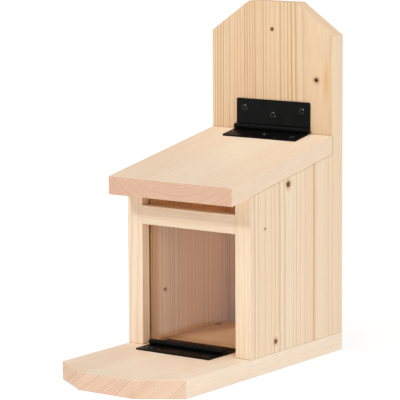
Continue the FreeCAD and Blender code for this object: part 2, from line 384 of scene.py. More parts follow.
@dataclass(frozen=True)
class Pine:
    """Planed, untreated pine or spruce: year rings about a pith line that runs along the grain."""

    name: str
    grain: Triple
    across: Triple
    through: Triple
    pith: Triple
    chamber: Optional[PaintedShadeChamber]
    ring_width_mm: float
    contrast: float = 0.5
    end_contrast: float = 0.6
    early: Triple = (0.89, 0.73, 0.575)
    late: Triple = (0.60, 0.35, 0.19)
    end_tint: Triple = (0.81, 0.70, 0.69)
    edge_tint: Triple = (1.0, 1.0, 1.0)
    edge_lines: float = 1.0
    quiet_mm: float = 0.0
    wander_mm: float = 3.0
    uneven: float = 5.0
    faintest: float = 0.2
    fleck: float = 0.3
    # how far and how dark the painted shade in the joints reaches
    crease_shade_reach: float = 0.0009
    crease_shade_deepest: float = 0.42
    seed: float = 0.0
    knots: tuple[Knot, ...] = ()
    streaks: tuple[ResinStreak, ...] = ()
    tones: PineTones = PineTones()

    def material(self) -> bpy.types.Material:
        """Builds the finish.

        Returns:
            The material.
        """
        bench = Bench(self.name)
        a, t, g = self._board_place(bench)
        rings_a, rings_t = self._wander(bench, a, t, g)
        rings_a, knots = self._bend_round_knots(bench, a, g, rings_a)
        late, band = self._rings(bench, rings_a, rings_t)
        end = self._squarely(bench, self.grain)
        edge = self._squarely(bench, self.across)
        fibre = self._fibres(bench, a, t, g)
        lines = bench.math("MULTIPLY", late, bench.step(end, 0.0, 1.0, self.contrast, self.end_contrast))
        lines = bench.math("MULTIPLY", lines, bench.step(edge, 0.0, 1.0, 1.0, self.edge_lines))
        if self.quiet_mm > 0.0:
            from_pith = bench.math("ABSOLUTE", a)
            quiet = bench.step(from_pith, 0.4 * self.quiet_mm, self.quiet_mm, 0.15, 1.0)
            lines = bench.math("MULTIPLY", lines, quiet)
        colour = bench.mix(lines, self.early, self.late)
        colour = bench.mix(bench.math("MULTIPLY", band, 0.5), colour, self.tones.darker_band, "MULTIPLY")
        colour = bench.mix(self._flecks(bench, a, t, g), colour, self.tones.fleck, "MULTIPLY")
        colour = bench.mix(1.0, colour, self._shade(bench, fibre), "MULTIPLY")
        colour = bench.mix(end, colour, bench.mix(1.0, colour, self.end_tint, "MULTIPLY"))
        colour = bench.mix(edge, colour, bench.mix(1.0, colour, self.edge_tint, "MULTIPLY"))
        colour = self._marked(bench, colour, a, g, knots)
        grit = bench.noise(bench.combine(a, t, g), 5.0, 3.0).outputs["Fac"]
        end_grit = bench.math("MULTIPLY", grit, bench.math("MULTIPLY", end, 0.8))
        height = bench.math("ADD", fibre, bench.math("MULTIPLY", lines, 0.6))
        height = bench.math("ADD", height, end_grit)
        height = bench.math("SUBTRACT", height, knots[1])
        face_roughness = bench.step(fibre, 0.3, 0.7, 0.50, 0.64)
        roughness = bench.math("ADD", face_roughness, bench.math("MULTIPLY", end, 0.14))
        normal = bench.bump(height, 0.5, 0.00006)
        return bench.finish(Base_Color=colour, Roughness=roughness, Normal=normal, IOR=1.45)

    @staticmethod
    def _squarely(bench: Bench, direction: Triple) -> bpy.types.NodeSocket:
        """1 on the faces that look along a direction, and 0 on the others."""
        return bench.step(bench.facing(direction), 0.55, 0.9)

    def _marked(self, bench: Bench, colour: Value, a: Value, g: Value,
                knots: tuple[Value, Value, Value]) -> bpy.types.NodeSocket:
        """Adds the painted warm shade on the chamber's walls, the resin streaks, the knots and the painted
        shade deep in the joints.

        Args:
            bench: The material's bench.
            colour: The wood's colour.
            a: The place across the board.
            g: The place along the grain.
            knots: As from _bend_round_knots.

        Returns:
            The colour's socket.
        """
        # Painted warm shade: the chamber's walls are tinted warmer and darker, standing in for the shade and
        # bounce light inside the box.
        if self.chamber is not None:
            warmer = bench.mix(1.0, colour, self.chamber.tint, "MULTIPLY")
            colour = bench.mix(self.chamber.inside(bench), colour, warmer)
        for streak in self.streaks:
            colour = bench.mix(self._streak(bench, streak, a, g), colour, streak.stain, "MULTIPLY")
        heart, core, halo = knots
        colour = bench.mix(halo, colour, self.tones.knot_stain)
        colour = bench.mix(core, colour, self.tones.knot)
        colour = bench.mix(heart, colour, self.tones.knot_heart)
        # Painted shade deep in the joints between boards, from ambient occlusion.
        return bench.mix(bench.painted_crease_shade(self.crease_shade_reach, self.crease_shade_deepest), self.tones.joint, colour)

    def _board_place(self, bench: Bench) -> tuple[bpy.types.NodeSocket, ...]:
        """The place in the board in millimetres from the pith: across, through, and along the grain."""
        out = bench.vector("SUBTRACT", bench.place(), self.pith)
        directions = (self.across, self.through, self.grain)
        metres = [bench.vector("DOT_PRODUCT", out, d, out="Value") for d in directions]
        return tuple(bench.math("MULTIPLY", m, PER_METRE) for m in metres)

    def _stretched(self, bench: Bench, a: Value, t: Value, g: Value, fine: float,
                   along: float) -> bpy.types.NodeSocket:
        """Noise coordinates that are fine across the grain and long along it."""
        return bench.combine(bench.math("MULTIPLY_ADD", a, fine, self.seed), bench.math("MULTIPLY", t, fine),
                             bench.math("MULTIPLY_ADD", g, along, self.seed))

    def _wander(self, bench: Bench, a: Value, t: Value, g: Value) -> tuple[bpy.types.NodeSocket, ...]:
        """The year rings' slow bends, as shifted places across and through the board."""
        noise = bench.noise(self._stretched(bench, a, t, g, 0.018, 0.0035), 1.0, 1.5)
        shift = bench.vector("SUBTRACT", noise.outputs["Color"], (0.5, 0.5, 0.5))
        parts = bench.separate(shift)
        span = 2 * self.wander_mm
        return (bench.math("MULTIPLY_ADD", parts[0], span, a), bench.math("MULTIPLY_ADD", parts[1], span, t))

    def _bend_round_knots(self, bench: Bench, a: Value, g: Value,
                          rings_a: Value) -> tuple[Value, tuple[Value, Value, Value]]:
        """Leads the rings round each knot, and marks the knots.

        Args:
            bench: The material's bench.
            a: The place across the board.
            g: The place along the grain.
            rings_a: The rings' place across the board.

        Returns:
            The rings' bent place across, and the shares of the knots' hearts, of the knots and of
            the stained wood around them.
        """
        heart: Value = 0.0
        core: Value = 0.0
        halo: Value = 0.0
        for knot in self.knots:
            da, dg = self._from_point(bench, knot.centre, a, g)
            wide, long = knot.bend_across * knot.radius_mm, knot.bend_along * knot.radius_mm
            near = self._near(bench, da, dg, wide, long)
            push = bench.math("MULTIPLY", bench.math("MULTIPLY", da, near), knot.bend)
            rings_a = bench.math("SUBTRACT", rings_a, push)
            uneven = bench.noise(bench.combine(da, dg, self.seed), 0.6, 1.0).outputs["Fac"]
            from_middle = bench.combine(da, bench.math("MULTIPLY", dg, 1.05), 0.0)
            reach = bench.vector("LENGTH", from_middle, out="Value")
            ragged = bench.math("MULTIPLY", bench.math("SUBTRACT", uneven, 0.5), knot.unevenness)
            reach = bench.math("ADD", bench.math("DIVIDE", reach, knot.radius_mm), ragged)
            inside = bench.step(reach, 0.72, 1.08, knot.darkness, 0.0)
            around = bench.step(reach, 0.9, 2.6, 0.45 * knot.darkness, 0.0)
            heart = bench.math("MAXIMUM", heart, bench.step(reach, 0.2, 0.62, knot.heart, 0.0))
            core = bench.math("MAXIMUM", core, inside)
            halo = bench.math("MAXIMUM", halo, around)
        return rings_a, (heart, core, halo)

    def _from_point(self, bench: Bench, point: Triple, a: Value, g: Value) -> tuple[Value, Value]:
        """How far a place lies from a point of the face, across the board and along the grain."""
        off = Vector(point) - Vector(self.pith)
        return (bench.math("SUBTRACT", a, off.dot(Vector(self.across)) * PER_METRE),
                bench.math("SUBTRACT", g, off.dot(Vector(self.grain)) * PER_METRE))

    def _near(self, bench: Bench, da: Value, dg: Value, wide: float, long: float) -> bpy.types.NodeSocket:
        """1 at a point of the face and falling to 0 around it, over two lengths."""
        square_a = bench.math("POWER", bench.math("DIVIDE", da, wide), 2.0)
        square_g = bench.math("POWER", bench.math("DIVIDE", dg, long), 2.0)
        total = bench.math("ADD", square_a, square_g)
        return bench.math("EXPONENT", bench.math("MULTIPLY", total, -1.0))

    def _rings(self, bench: Bench, a: Value, t: Value) -> tuple[bpy.types.NodeSocket, ...]:
        """Late wood from 0 to 1, and a slow change of tone from ring to ring."""
        radius = bench.vector("LENGTH", bench.combine(a, t, 0.0), out="Value")
        scale = 0.9 / self.ring_width_mm / 6
        uneven = bench.noise(bench.math("ADD", radius, self.seed * 7.0), scale, 2.0, flat=True)
        count = bench.math("DIVIDE", radius, self.ring_width_mm)
        count = bench.math("MULTIPLY_ADD", uneven.outputs["Fac"], self.uneven, count)
        part = bench.math("FRACT", count)
        ring = bench.math("FLOOR", count)
        strong = bench.node("ShaderNodeTexWhiteNoise", noise_dimensions="1D")
        bench.feed(strong.inputs["W"], bench.math("ADD", ring, self.seed))
        weight = bench.step(strong.outputs["Value"], 0.1, 1.0, self.faintest, 1.0)
        rise = bench.math("POWER", bench.step(part, 0.25, 0.93), 1.6)
        fall = bench.step(part, 0.94, 1.0, 1.0, 0.0)
        late = bench.math("MULTIPLY", bench.math("MULTIPLY", rise, fall), weight)
        band = bench.noise(bench.math("ADD", radius, self.seed * 3.0), 0.035, 2.0, flat=True)
        return late, bench.step(band.outputs["Fac"], 0.35, 0.65)

    def _fibres(self, bench: Bench, a: Value, t: Value, g: Value) -> bpy.types.NodeSocket:
        """Fine fibres along the grain, about 0 to 1."""
        return bench.noise(self._stretched(bench, a, t, g, 1.6, 0.03), 1.0, 4.0, 0.6).outputs["Fac"]

    def _flecks(self, bench: Bench, a: Value, t: Value, g: Value) -> bpy.types.NodeSocket:
        """Short brown resin flecks along the grain."""
        noise = bench.noise(self._stretched(bench, a, t, g, 0.75, 0.018), 1.0, 1.0).outputs["Fac"]
        return bench.step(noise, 0.60, 0.76, 0.0, self.fleck)

    def _shade(self, bench: Bench, fibre: Value) -> bpy.types.NodeSocket:
        """A grey that lightens and darkens the wood a little with the fibres."""
        level = bench.step(fibre, 0.25, 0.75, 0.93, 1.05)
        return bench.combine(level, level, level)

    def _streak(self, bench: Bench, streak: ResinStreak, a: Value, g: Value) -> bpy.types.NodeSocket:
        """The share of a resin streak at a place."""
        da, dg = self._from_point(bench, streak.centre, a, g)
        near = self._near(bench, da, dg, streak.half_width_mm, streak.half_length_mm)
        return bench.math("MULTIPLY", near, streak.strength)


@dataclass(frozen=True)
class BlackCoat:
    """Black powder coat on steel, with the fine orange-peel of the coat and rubbed edges."""

    name: str = "black_coat"
    colour: Triple = (0.0045, 0.0045, 0.0046)
    rubbed: Triple = (0.03, 0.027, 0.024)
    roughness: float = 0.30
    gloss: float = 0.28
    edge_radius: float = 0.0004

    def material(self) -> bpy.types.Material:
        """Builds the finish.

        Returns:
            The material.
        """
        bench = Bench(self.name)
        place = bench.place()
        peel = bench.noise(place, 1400.0, 2.0).outputs["Fac"]
        cloud = bench.noise(place, 90.0, 3.0).outputs["Fac"]
        long = bench.vector("MULTIPLY", place, (1.0, 6.0, 6.0))
        scuff = bench.noise(long, 160.0, 4.0, 0.7).outputs["Fac"]
        worn = bench.step(scuff, 0.62, 0.78, 0.0, 0.7)
        colour = bench.mix(worn, self.colour, self.rubbed)
        roughness = bench.math("ADD", bench.step(cloud, 0.3, 0.7, -0.05, 0.08), self.roughness)
        normal = bench.bump(peel, 0.12, 0.00004, bench.soft_edges(self.edge_radius))
        return bench.finish(Base_Color=colour, Roughness=roughness, Normal=normal, IOR=1.5,
                            Specular_IOR_Level=self.gloss)


@dataclass(frozen=True)
class ScrewSteel:
    """Steel screws: plated or blackened, brighter where the driver has rubbed them."""

    name: str
    colour: Triple
    bright: Triple
    roughness: float
    metallic: float

    def material(self) -> bpy.types.Material:
        """Builds the finish.

        Returns:
            The material.
        """
        bench = Bench(self.name)
        place = bench.place()
        rub = bench.noise(place, 900.0, 3.0, 0.65).outputs["Fac"]
        colour = bench.mix(bench.step(rub, 0.5, 0.72), self.colour, self.bright)
        cloud = bench.noise(place, 350.0, 2.0).outputs["Fac"]
        roughness = bench.math("ADD", bench.step(cloud, 0.3, 0.7, -0.06, 0.1), self.roughness)
        normal = bench.bump(rub, 0.15, 0.00003, bench.soft_edges(0.00015))
        return bench.finish(Base_Color=colour, Roughness=roughness, Metallic=self.metallic, Normal=normal)


@dataclass(frozen=True)
class Beech:
    """Turned beech for the dowels, with short brown flecks."""

    name: str = "beech_dowel"
    pale: Triple = (0.62, 0.41, 0.24)
    fleck: Triple = (0.34, 0.18, 0.09)

    def material(self) -> bpy.types.Material:
        """Builds the finish.

        Returns:
            The material.
        """
        bench = Bench(self.name)
        long = bench.vector("MULTIPLY", bench.place(), (120.0, 1500.0, 1500.0))
        noise = bench.noise(long, 1.0, 3.0).outputs["Fac"]
        colour = bench.mix(bench.step(noise, 0.55, 0.7), self.pale, self.fleck)
        roughness = bench.step(noise, 0.2, 0.8, 0.45, 0.7)
        normal = bench.bump(noise, 0.3, 0.00004)
        return bench.finish(Base_Color=colour, Roughness=roughness, Normal=normal)


@dataclass(frozen=True)
class ClearAcrylic:
    """Clear acrylic sheet with faint wipe marks."""

    name: str = "clear_acrylic"
    tint: Triple = (0.995, 0.995, 0.995)
    shine: Triple = (1.0, 1.0, 1.0)
    mirror_share: float = 0.068

    def material(self) -> bpy.types.Material:
        """Builds the finish.

        Returns:
            The material.
        """
        bench = Bench(self.name)
        wiped = bench.vector("MULTIPLY", bench.place(), (30.0, 1.0, 9.0))
        smear = bench.noise(wiped, 2.0, 4.0).outputs["Fac"]
        mirror = bench.node("ShaderNodeBsdfGlossy")
        bench.feed(mirror.inputs["Color"], self.shine)
        bench.feed(mirror.inputs["Roughness"], bench.step(smear, 0.45, 0.75, 0.03, 0.12))
        through = bench.node("ShaderNodeBsdfTransparent")
        bench.feed(through.inputs["Color"], self.tint)
        weight = bench.node("ShaderNodeLayerWeight")
        weight.inputs["Blend"].default_value = 0.5
        grazing = bench.math("POWER", weight.outputs["Facing"], 5.0)
        sheet = bench.node("ShaderNodeMixShader")
        bench.feed(sheet.inputs[0], bench.math("MULTIPLY_ADD", grazing, 0.9, self.mirror_share))
        bench.feed(sheet.inputs[1], through.outputs[0])
        bench.feed(sheet.inputs[2], mirror.outputs[0])
        output = bench.node("ShaderNodeOutputMaterial")
        bench.feed(output.inputs[0], sheet.outputs[0])
        return bench.material


# ---------------- meshes


@dataclass(frozen=True)
class Screw:
    """A countersunk wood screw with a cross recess. Its head's top is at the origin, its point is down."""

    length_mm: float
    radius_mm: float
    head_radius_mm: float
    dome_mm: float = 0.2
    recess_mm: float = 1.2
    arm_mm: float = 1.9
    arm_half_mm: float = 0.5
    pitch_mm: float = 1.5
    thread_mm: float = 0.32
    rim_mm: float = 0.1
    arm_slope_mm: float = 0.24
    arm_end_mm: float = 0.9
    segments: int = 40
    head_rings: int = 12
    rings_a_turn: int = 6

    def mesh(self, name: str) -> bpy.types.Mesh:
        """Builds the screw.

        Args:
            name: The mesh's name.

        Returns:
            A closed mesh, in metres.
        """
        form = bmesh.new()
        rings = [self._ring(form, r, None) for r in self._head_radii()]
        rings.append(self._ring(form, self.head_radius_mm, -self.rim_mm))
        for z in self._shank_heights():
            rings.append(self._shank_ring(form, z))
        middle = form.verts.new(self._head_point(0.0, 0.0))
        tip = form.verts.new((0.0, 0.0, -self.length_mm * MM))
        self._fan(form, middle, rings[0], False)
        for upper, lower in zip(rings, rings[1:]):
            self._band(form, upper, lower)
        self._fan(form, tip, rings[-1], True)
        bmesh.ops.recalc_face_normals(form, faces=form.faces[:])
        made = bpy.data.meshes.new(name)
        form.to_mesh(made)
        form.free()
        return made

    def _head_radii(self) -> list[float]:
        """Radii of the rings that make the head's top."""
        return [self.head_radius_mm * (i + 1) / self.head_rings for i in range(self.head_rings)]

    def _shank_heights(self) -> list[float]:
        """Heights of the rings below the head, down to near the point."""
        step = self.pitch_mm / self.rings_a_turn
        top = -(self.head_radius_mm - self.radius_mm)
        count = int((self.length_mm + top - step) / step)
        return [top - i * step for i in range(count)]

    def _head_point(self, x: float, y: float) -> Vector:
        """A point of the head's top, in metres: a low dome with the cross recess let into it."""
        reach = math.hypot(x, y) / self.head_radius_mm
        dome = self.dome_mm * (1 - reach * reach)
        depth = max(self._arm(x, y), self._arm(y, x)) * self.recess_mm
        return Vector((x, y, dome - depth)) * MM

    def _arm(self, along: float, beside: float) -> float:
        """Depth of one bar of the cross, from 0 to 1."""
        foot = self.arm_half_mm + self.arm_slope_mm / 2
        wall = min(1.0, max(0.0, (foot - abs(beside)) / self.arm_slope_mm))
        end = min(1.0, max(0.0, (self.arm_mm - abs(along)) / self.arm_end_mm))
        return wall * end

    def _ring(self, form: bmesh.types.BMesh, radius: float, height: Optional[float]) -> Ring:
        """A ring of points on the head's top, or at a height when one is given."""
        points = []
        for i in range(self.segments):
            turn = 2 * math.pi * i / self.segments
            x, y = radius * math.cos(turn), radius * math.sin(turn)
            point = self._head_point(x, y) if height is None else Vector((x, y, height)) * MM
            points.append(form.verts.new(point))
        return points

    def _shank_ring(self, form: bmesh.types.BMesh, z: float) -> Ring:
        """A ring of the threaded shank, which narrows to the point."""
        points = []
        taper = min(1.0, (z + self.length_mm) / (2.5 * self.radius_mm))
        for i in range(self.segments):
            part = i / self.segments
            wave = abs(((z / self.pitch_mm - part) % 1.0) * 2 - 1)
            cut = self.thread_mm * min(1.0, 1.6 * wave)
            radius = (self.radius_mm - cut) * taper
            turn = 2 * math.pi * part
            points.append(form.verts.new(Vector((radius * math.cos(turn), radius * math.sin(turn), z)) * MM))
        return points

    @staticmethod
    def _band(form: bmesh.types.BMesh, upper: Ring, lower: Ring) -> None:
        """Faces between two rings."""
        count = len(upper)
        for i in range(count):
            j = (i + 1) % count
            form.faces.new((upper[i], upper[j], lower[j], lower[i]))

    @staticmethod
    def _fan(form: bmesh.types.BMesh, middle: bmesh.types.BMVert, ring: Ring, flip: bool) -> None:
        """Faces from a middle point to a ring."""
        count = len(ring)
        for i in range(count):
            pair = (ring[i], ring[(i + 1) % count])
            form.faces.new((middle, *(reversed(pair) if flip else pair)))


@dataclass
class ScrewSet:
    """The screws that one CAD node stands for, as one piece."""

    node: str
    slot: str
    screw: Screw
    finish: ScrewSteel
    places: list[Matrix]
    first_turn: float = 23.0
    next_turn: float = 37.0
    sharp_from: float = 38.0

    def build(self, body: Body) -> bpy.types.Object:
        """Builds the screws and lets them stand for the CAD node.

        Args:
            body: What they ride on.

        Returns:
            The piece.
        """
        form = bmesh.new()
        for i, place in enumerate(self.places):
            one = self.screw.mesh(self.node + "_one")
            turn = Matrix.Rotation(math.radians(self.first_turn + self.next_turn * i), 4, "Z")
            one.transform(place @ turn)
            form.from_mesh(one)
            bpy.data.meshes.remove(one)
        made = bpy.data.meshes.new(self.node + "_detail")
        form.to_mesh(made)
        form.free()
        made.shade_smooth()
        made.set_sharp_from_angle(angle=math.radians(self.sharp_from))
        made.materials.append(self.finish.material())
        piece = bpy.data.objects.new(self.node + "_detail", made)
        bpy.context.scene.collection.objects.link(piece)
        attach(piece, body.value)
        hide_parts(self.node)
        log.info("%s: %d screws", piece.name, len(self.places))
        return piece


def dress(node: str, material: bpy.types.Material) -> None:
    """Gives a CAD node a new material in all its slots.

    Args:
        node: The node's name.
        material: The finish.
    """
    piece = frame["nodes"][node]
    if not piece.material_slots:
        piece.data.materials.append(material)
    for slot in piece.material_slots:
        slot.material = material
    log.info("%s: %s", node, material.name)


# ---------------- sub-assemblies


@dataclass
class Boards:
    """The wooden boards of the box, each cut from its own piece of pine."""

    roof_tilt: float
    deck: float
    hair: float = 0.0001
    across: Triple = Axis.ACROSS.value
    back: Triple = Axis.BACK.value
    up: Triple = Axis.UP.value

    def build(self) -> None:
        """Dresses every board."""
        boards = {
            "back_board": self._back_board(),
            "right_side": self._right_side(),
            "left_side": self._left_side(),
            "floor_board": self._deck_plank("floor_board_pine", self._chamber(), (self._corner_knot(),)),
            "platform_board": self._deck_plank("platform_pine", None, ()),
            "roof_board": self._roof_board(),
            "front_rail": self._front_rail(),
        }
        for node, pine in boards.items():
            dress(node, pine.material())

    def _roof_up(self) -> Triple:
        """The direction square to the roof's top."""
        return (0.0, -math.sin(self.roof_tilt), math.cos(self.roof_tilt))

    def _chamber(self) -> PaintedShadeChamber:
        """The food chamber, a hair wider than its walls so that all of them lie in it."""
        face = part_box("back_board")[0].y
        wall, wall_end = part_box("right_side")
        ceiling = Vector((0.0, face, wall_end.z)).dot(Vector(self._roof_up()))
        hair = self.hair
        return PaintedShadeChamber(wall.x + hair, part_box("window_pane")[0].y, face + hair, self.deck - hair,
                       self._roof_up(), ceiling + hair)

    def _back_board(self) -> Pine:
        """The back board: strong lines that fade to the right, where a knot and its streak are."""
        low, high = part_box("back_board")
        pith_inset, pith_depth = 0.019, 0.085
        knot = Knot((0.0539, low.y, self.deck + 0.2574), 2.5)
        streak = ResinStreak((0.0655, low.y, self.deck + 0.257), 3.0, 18.0, 0.9, (0.95, 0.80, 0.56))
        return Pine(
            "back_board_pine", self.up, self.across, self.back,
            pith=(high.x - pith_inset, low.y + pith_depth, self.deck), chamber=self._chamber(),
            ring_width_mm=2.3, contrast=0.84, end_contrast=0.35,
            early=(0.80, 0.615, 0.435), late=(0.52, 0.29, 0.13),
            end_tint=(1.06, 1.05, 1.07), edge_tint=(1.09, 1.13, 1.19), edge_lines=0.3,
            quiet_mm=30.0, wander_mm=2.0, uneven=2.5, seed=3.1, knots=(knot,), streaks=(streak,),
        )

    def _right_side(self) -> Pine:
        """The right side: straight lines, three knots and one long brown streak near the rear."""
        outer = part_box("right_side")[1]
        pith_inset, pith_ahead = 0.075, 0.185
        upper = Knot((outer.x, outer.y - 0.080, self.deck + 0.1637), 3.3, heart=0.5)
        lower = Knot((outer.x, outer.y - 0.102, self.deck + 0.0113), 2.6, heart=0.7)
        speck = Knot((outer.x, outer.y - 0.120, self.deck + 0.1250), 1.3, 0.7)
        beside = (outer.x, outer.y - 0.0339, self.deck + 0.09)
        streak = ResinStreak(beside, 1.1, 400.0, 0.7, (0.72, 0.52, 0.36))
        return Pine(
            "right_side_pine", self.up, self.back, self.across,
            pith=(outer.x - pith_inset, outer.y - pith_ahead, self.deck), chamber=self._chamber(),
            ring_width_mm=3.4, contrast=0.5, early=(0.90, 0.735, 0.565), edge_lines=0.5, seed=8.4,
            knots=(upper, lower, speck), streaks=(streak,),
        )

    def _left_side(self) -> Pine:
        """The left side: close, reddish lines, and a small knot on its inner face."""
        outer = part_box("left_side")[0]
        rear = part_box("right_side")[1].y
        pith_inset, pith_behind, board = 0.07, 0.03, 0.018
        knot = Knot((outer.x + board, rear - 0.108, self.deck + 0.050), 1.9)
        return Pine(
            "left_side_pine", self.up, self.back, self.across,
            pith=(outer.x + pith_inset, rear + pith_behind, self.deck), chamber=self._chamber(),
            ring_width_mm=2.6, contrast=0.7, early=(0.90, 0.735, 0.575), late=(0.54, 0.27, 0.15),
            uneven=3.0, edge_lines=0.4, seed=5.7, knots=(knot,),
        )

    def _deck_plank(self, name: str, chamber: Optional[PaintedShadeChamber], knots: tuple[Knot, ...]) -> Pine:
        """The plank that the floor board and the platform are cut from.

        Args:
            name: The finish's name.
            chamber: The food chamber, whose painted warm shade goes on the board that lies in it.
            knots: The board's knots.

        Returns:
            The wood of one of the two boards.
        """
        pith_left, pith_height = 0.150, 0.185
        return Pine(
            name, self.back, self.across, self.up,
            pith=(-pith_left, 0.0, self.deck + pith_height), chamber=chamber,
            ring_width_mm=2.1, contrast=0.12, end_contrast=0.72,
            early=(0.93, 0.79, 0.645), late=(0.56, 0.33, 0.20), end_tint=(0.86, 0.76, 0.74),
            uneven=1.2, faintest=0.5, seed=2.2, knots=knots,
        )

    def _corner_knot(self) -> Knot:
        """The knot in the floor board, in the chamber's rear left corner."""
        return Knot((-0.0535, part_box("right_side")[1].y - 0.020, self.deck), 3.2, 0.75)

    def _roof_board(self) -> Pine:
        """The roof: a quiet face, and wide arches on its end grain."""
        slope = (0.0, math.cos(self.roof_tilt), math.sin(self.roof_tilt))
        pith_right, pith_rise = 0.004, 0.06
        return Pine(
            "roof_pine", slope, self.across, self._roof_up(),
            pith=(pith_right, 0.0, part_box("roof_board")[1].z + pith_rise), chamber=None,
            ring_width_mm=2.3, contrast=0.11, end_contrast=0.5, seed=6.6,
        )

    def _front_rail(self) -> Pine:
        """The front rail, with its grain along it."""
        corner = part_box("front_rail")[0]
        pith_behind, pith_drop = 0.05, 0.03
        return Pine(
            "rail_pine", self.across, self.up, self.back,
            pith=(0.0, corner.y + pith_behind, corner.z - pith_drop), chamber=self._chamber(),
            ring_width_mm=2.4, contrast=0.16, seed=9.9,
        )


@dataclass
class ButtHinge:
    """A black butt hinge: two leaves on a pin, each held by three screws."""

    prefix: str
    fixed: str
    moving: str
    centre: Vector
    fixed_way: Vector
    fixed_up: Vector
    moving_way: Vector
    moving_up: Vector
    moving_body: Body
    top_lift_mm: float = -2.0
    spread_mm: float = 35.0
    fixed_reach_mm: float = 18.9
    moving_reach_mm: float = 15.5
    middle_reach_mm: float = 13.0

    def build(self, coat: BlackCoat, steel: ScrewSteel, screw: Screw) -> None:
        """Dresses the leaves and the pin, and builds the screws.

        Args:
            coat: The finish of the leaves and the pin.
            steel: The finish of the screws.
            screw: The screw's shape.
        """
        material = coat.material()
        for part in (f"{self.fixed}_leaf", f"{self.moving}_leaf", "pin"):
            dress(f"{self.prefix}_{part}", material)
        fixed_places = self._places(self.fixed_way, self.fixed_up, self.fixed_reach_mm)
        moving_places = self._places(self.moving_way, self.moving_up, self.moving_reach_mm)
        fixed_node, moving_node = f"{self.prefix}_{self.fixed}_screws", f"{self.prefix}_{self.moving}_screws"
        slot = "hinge_screw_black"
        ScrewSet(fixed_node, slot, screw, steel, fixed_places).build(Body.HOUSE)
        ScrewSet(moving_node, slot, screw, steel, moving_places).build(self.moving_body)

    def _places(self, way: Vector, up: Vector, outer_mm: float) -> list[Matrix]:
        """Where a leaf's three screws go, with their heads level with the leaf's face."""
        holes = ((-self.spread_mm, outer_mm), (0.0, self.middle_reach_mm), (self.spread_mm, outer_mm))
        side = Vector(Axis.ACROSS.value)
        turned = Matrix((side, up.cross(side), up)).transposed().to_4x4()
        places = []
        for across_mm, reach_mm in holes:
            point = self.centre + (side * across_mm + way * reach_mm + up * self.top_lift_mm) * MM
            places.append(Matrix.Translation(point) @ turned)
        return places


@dataclass
class BoxScrews:
    """The long screws that hold the boards together, driven from behind and from below."""

    screw: Screw
    steel: ScrewSteel
    sink: float = 0.0005

    def build(self) -> None:
        """Builds every set of long screws."""
        heights = self._spaced("left_side_back_screws", 2, 3)
        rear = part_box("back_board")[1].y - self.sink
        depths = self._spaced("left_side_base_screws", 1, 2)
        for name in ("left_side", "right_side"):
            low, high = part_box(f"{name}_back_screws")
            x = (low.x + high.x) / 2
            back_places = [self._place(Vector((x, rear, z)), "Y") for z in heights]
            base_places = [self._place(Vector((x, y, self.sink)), "Z") for y in depths]
            self._set(f"{name}_back_screws", back_places)
            self._set(f"{name}_base_screws", base_places)
        low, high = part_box("back_board_base_screws")
        xs = self._spaced("back_board_base_screws", 0, 3)
        y = (low.y + high.y) / 2
        self._set("back_board_base_screws", [self._place(Vector((x, y, self.sink)), "Z") for x in xs])

    def _spaced(self, node: str, axis: int, count: int) -> list[float]:
        """Even places of a node's screws along one axis, from the node's box."""
        low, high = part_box(node)
        inset = self.screw.head_radius_mm * MM
        start, end = low[axis] + inset, high[axis] - inset
        return [start + (end - start) * i / (count - 1) for i in range(count)]

    @staticmethod
    def _place(point: Vector, driven_along: str) -> Matrix:
        """A screw's place: driven forwards from behind (Y), or up from below (Z)."""
        if driven_along == "Y":
            turn = Matrix.Rotation(math.radians(-90), 4, "X")
        else:
            turn = Matrix.Rotation(math.radians(180), 4, "X")
        return Matrix.Translation(point) @ turn

    def _set(self, node: str, places: list[Matrix]) -> None:
        """Builds one set."""
        ScrewSet(node, "box_screw_zinc", self.screw, self.steel, places).build(Body.HOUSE)


@dataclass
class PaneAndDowels:
    """The clear front pane, and the dowels that carry the rail."""

    acrylic: ClearAcrylic
    beech: Beech

    def build(self) -> None:
        """Dresses the pane and the dowels."""
        dress("window_pane", self.acrylic.material())
        material = self.beech.material()
        for node in ("left_rail_dowel", "right_rail_dowel"):
            dress(node, material)


@dataclass(frozen=True)
class FarLight:
    """A far, even light: the direction to it, how wide it looks in degrees, and its strength."""

    name: str
    towards: Triple
    spread: float
    strength: float

    def build(self) -> None:
        """Builds the light."""
        data = bpy.data.lights.new(self.name, "SUN")
        data.angle = math.radians(self.spread)
        data.energy = self.strength
        lamp = bpy.data.objects.new(self.name, data)
        lamp.matrix_world = Vector(self.towards).to_track_quat("Z", "Y").to_matrix().to_4x4()
        bpy.context.scene.collection.objects.link(lamp)


